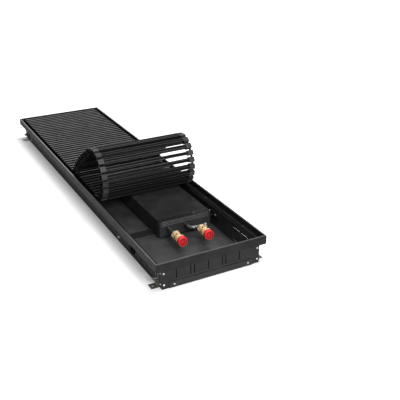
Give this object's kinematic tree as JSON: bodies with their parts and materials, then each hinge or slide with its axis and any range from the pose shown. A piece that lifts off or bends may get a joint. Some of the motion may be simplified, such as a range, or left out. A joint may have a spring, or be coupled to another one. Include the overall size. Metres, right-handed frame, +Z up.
{
  "type": "trench convector heater",
  "caption": "Long floor-trench convector with a roll-up slatted grille rolled back from the valve end, finned exchanger, capped valves and slotted levelling feet.",
  "frame": {"origin": "middle of the footprint, on the floor under the feet and the trough", "axes": "+Y along the trough away from the pipe connections, +X across it, +Z up"},
  "size_m": [0.348, 1.34, 0.2367],
  "materials": {
    "dark_lacquer": "semi-gloss anthracite powder coat",
    "slat_anodised": "satin black anodised",
    "black_moulding": "matt moulded",
    "fin_black": "satin black paint",
    "copper_tube": "dull bare copper",
    "yellow_brass": "machined, slightly rough",
    "dark_steel": "satin dark",
    "zinc_steel": "galvanised",
    "rivet_grey": "dull",
    "red_cap_plastic": "glossy moulded",
    "vent_chrome": "polished",
    "black_rubber": "matt"
  },
  "bodies": {
    "heater": {"trough": "dark_lacquer", "near_end_plate": "dark_lacquer", "far_end_plate": "dark_lacquer", "end_plate_rivets": "rivet_grey", "left_frame_rail": "dark_lacquer", "right_frame_rail": "dark_lacquer", "near_frame_rail": "dark_lacquer", "far_frame_rail": "dark_lacquer", "frame_corner_keys": "zinc_steel", "frame_screws": "zinc_steel", "grille_rest_strips": "black_rubber", "trough_cross_braces": "dark_lacquer", "flat_grille_slats": "slat_anodised", "flat_grille_end_links": "black_moulding", "exchanger_fins": "fin_black", "exchanger_end_plates": "fin_black", "exchanger_copper_circuit": "copper_tube", "exchanger_cover": "fin_black", "exchanger_brackets": "dark_lacquer", "exchanger_screws": "zinc_steel", "supply_pipe": "dark_steel", "return_pipe": "dark_steel", "union_nuts": "yellow_brass", "supply_valve_body": "yellow_brass", "return_valve_body": "yellow_brass", "air_vent": "vent_chrome", "side_grommet": "black_rubber", "foot_fasteners": "zinc_steel"},
    "supply_cap": {"supply_cap": "red_cap_plastic"},
    "return_cap": {"return_cap": "red_cap_plastic"},
    "supply_spindle": {"supply_valve_spindle": "dark_steel"},
    "return_spindle": {"return_valve_spindle": "dark_steel"},
    "bleed_key_screw": {"bleed_screw": "vent_chrome"},
    "near_left_foot": {"foot_near_left": "zinc_steel"},
    "near_right_foot": {"foot_near_right": "zinc_steel"},
    "far_left_foot": {"foot_far_left": "zinc_steel"},
    "far_right_foot": {"foot_far_right": "zinc_steel"},
    "roll_link_01": {"grille_link_01": "slat_anodised"},
    "roll_link_02": {"grille_link_02": "slat_anodised"},
    "roll_link_03": {"grille_link_03": "slat_anodised"},
    "roll_link_04": {"grille_link_04": "slat_anodised"},
    "roll_link_05": {"grille_link_05": "slat_anodised"},
    "roll_link_06": {"grille_link_06": "slat_anodised"},
    "roll_link_07": {"grille_link_07": "slat_anodised"},
    "roll_link_08": {"grille_link_08": "slat_anodised"},
    "roll_link_09": {"grille_link_09": "slat_anodised"},
    "roll_link_10": {"grille_link_10": "slat_anodised"},
    "roll_link_11": {"grille_link_11": "slat_anodised"},
    "roll_link_12": {"grille_link_12": "slat_anodised"},
    "roll_link_13": {"grille_link_13": "slat_anodised"},
    "roll_link_14": {"grille_link_14": "slat_anodised"},
    "roll_link_15": {"grille_link_15": "slat_anodised"},
    "roll_link_16": {"grille_link_16": "slat_anodised"},
    "roll_link_17": {"grille_link_17": "slat_anodised"},
    "roll_link_18": {"grille_link_18": "slat_anodised"},
    "roll_link_19": {"grille_link_19": "slat_anodised"},
    "roll_link_20": {"grille_link_20": "slat_anodised"},
    "roll_link_21": {"grille_link_21": "slat_anodised"},
    "roll_link_22": {"grille_link_22": "slat_anodised"},
    "roll_link_23": {"grille_link_23": "slat_anodised"}
  },
  "joints": [
    {"name": "roll_hinge_01", "type": "hinge", "parent": "heater", "child": "roll_link_01", "pos_m": [0, -0.1845, 0.0795], "axis": [1, 0, 0], "range_deg": [0, 7.93]},
    {"name": "roll_hinge_02", "type": "hinge", "parent": "roll_link_01", "child": "roll_link_02", "pos_m": [0, -0.2048, 0.08233], "axis": [1, 0, 0], "range_deg": [0, 11.45]},
    {"name": "roll_hinge_03", "type": "hinge", "parent": "roll_link_02", "child": "roll_link_03", "pos_m": [0, -0.22414, 0.08913], "axis": [1, 0, 0], "range_deg": [0, 16.74]},
    {"name": "roll_hinge_04", "type": "hinge", "parent": "roll_link_03", "child": "roll_link_04", "pos_m": [0, -0.2407, 0.10122], "axis": [1, 0, 0], "range_deg": [0, 20.26]},
    {"name": "roll_hinge_05", "type": "hinge", "parent": "roll_link_04", "child": "roll_link_05", "pos_m": [0, -0.25205, 0.11829], "axis": [1, 0, 0], "range_deg": [0, 20.26]},
    {"name": "roll_hinge_06", "type": "hinge", "parent": "roll_link_05", "child": "roll_link_06", "pos_m": [0, -0.25678, 0.13823], "axis": [1, 0, 0], "range_deg": [0, 15.86]},
    {"name": "roll_hinge_07", "type": "hinge", "parent": "roll_link_06", "child": "roll_link_07", "pos_m": [0, -0.25589, 0.15871], "axis": [1, 0, 0], "range_deg": [0, 13.22]},
    {"name": "roll_hinge_08", "type": "hinge", "parent": "roll_link_07", "child": "roll_link_08", "pos_m": [0, -0.25033, 0.17845], "axis": [1, 0, 0], "range_deg": [0, 12.33]},
    {"name": "roll_hinge_09", "type": "hinge", "parent": "roll_link_08", "child": "roll_link_09", "pos_m": [0, -0.24069, 0.19654], "axis": [1, 0, 0], "range_deg": [0, 14.98]},
    {"name": "roll_hinge_10", "type": "hinge", "parent": "roll_link_09", "child": "roll_link_10", "pos_m": [0, -0.2267, 0.21152], "axis": [1, 0, 0], "range_deg": [0, 20.26]},
    {"name": "roll_hinge_11", "type": "hinge", "parent": "roll_link_10", "child": "roll_link_11", "pos_m": [0, -0.20839, 0.22073], "axis": [1, 0, 0], "range_deg": [0, 22.03]},
    {"name": "roll_hinge_12", "type": "hinge", "parent": "roll_link_11", "child": "roll_link_12", "pos_m": [0, -0.18796, 0.22241], "axis": [1, 0, 0], "range_deg": [0, 20.26]},
    {"name": "roll_hinge_13", "type": "hinge", "parent": "roll_link_12", "child": "roll_link_13", "pos_m": [0, -0.16821, 0.2169], "axis": [1, 0, 0], "range_deg": [0, 11.45]},
    {"name": "roll_hinge_14", "type": "hinge", "parent": "roll_link_13", "child": "roll_link_14", "pos_m": [0, -0.14995, 0.20758], "axis": [1, 0, 0], "range_deg": [0, 2.64]},
    {"name": "roll_hinge_15", "type": "hinge", "parent": "roll_link_14", "child": "roll_link_15", "pos_m": [0, -0.13214, 0.19743], "axis": [1, 0, 0], "range_deg": [0, 1.76]},
    {"name": "roll_hinge_16", "type": "hinge", "parent": "roll_link_15", "child": "roll_link_16", "pos_m": [0, -0.11465, 0.18673], "axis": [1, 0, 0], "range_deg": [0, 1.76]},
    {"name": "roll_hinge_17", "type": "hinge", "parent": "roll_link_16", "child": "roll_link_17", "pos_m": [0, -0.0975, 0.17551], "axis": [1, 0, 0], "range_deg": [0, 1.76]},
    {"name": "roll_hinge_18", "type": "hinge", "parent": "roll_link_17", "child": "roll_link_18", "pos_m": [0, -0.0807, 0.16376], "axis": [1, 0, 0], "range_deg": [0, 1.76]},
    {"name": "roll_hinge_19", "type": "hinge", "parent": "roll_link_18", "child": "roll_link_19", "pos_m": [0, -0.06427, 0.1515], "axis": [1, 0, 0], "range_deg": [0, 1.76]},
    {"name": "roll_hinge_20", "type": "hinge", "parent": "roll_link_19", "child": "roll_link_20", "pos_m": [0, -0.04822, 0.13874], "axis": [1, 0, 0], "range_deg": [0, 1.76]},
    {"name": "roll_hinge_21", "type": "hinge", "parent": "roll_link_20", "child": "roll_link_21", "pos_m": [0, -0.03258, 0.12549], "axis": [1, 0, 0], "range_deg": [0, 1.76]},
    {"name": "roll_hinge_22", "type": "hinge", "parent": "roll_link_21", "child": "roll_link_22", "pos_m": [0, -0.01735, 0.11177], "axis": [1, 0, 0], "range_deg": [0, 1.76]},
    {"name": "roll_hinge_23", "type": "hinge", "parent": "roll_link_22", "child": "roll_link_23", "pos_m": [0, -0.00255, 0.09759], "axis": [1, 0, 0], "range_deg": [0, 1.76]},
    {"name": "supply_cap_pull", "type": "slide", "parent": "heater", "child": "supply_cap", "axis": [0, -1, 0], "range_m": [0, 0.03]},
    {"name": "supply_spindle_turn", "type": "hinge", "parent": "heater", "child": "supply_spindle", "pos_m": [-0.01025, -0.48042, 0.034], "axis": [-0.4695, 0, 0.8829], "range_deg": [0, 360]},
    {"name": "return_cap_pull", "type": "slide", "parent": "heater", "child": "return_cap", "axis": [0, -1, 0], "range_m": [0, 0.03]},
    {"name": "return_spindle_turn", "type": "hinge", "parent": "heater", "child": "return_spindle", "pos_m": [0.07625, -0.48042, 0.034], "axis": [-0.4695, 0, 0.8829], "range_deg": [0, 360]},
    {"name": "bleed_turn", "type": "hinge", "parent": "heater", "child": "bleed_key_screw", "pos_m": [0.08225, -0.476, 0.055], "axis": [0, 0, 1], "range_deg": [0, 180]},
    {"name": "near_left_foot_level", "type": "slide", "parent": "heater", "child": "near_left_foot", "axis": [0, 0, -1], "range_m": [0, 0.018]},
    {"name": "near_right_foot_level", "type": "slide", "parent": "heater", "child": "near_right_foot", "axis": [0, 0, -1], "range_m": [0, 0.018]},
    {"name": "far_left_foot_level", "type": "slide", "parent": "heater", "child": "far_left_foot", "axis": [0, 0, -1], "range_m": [0, 0.018]},
    {"name": "far_right_foot_level", "type": "slide", "parent": "heater", "child": "far_right_foot", "axis": [0, 0, -1], "range_m": [0, 0.018]}
  ]
}
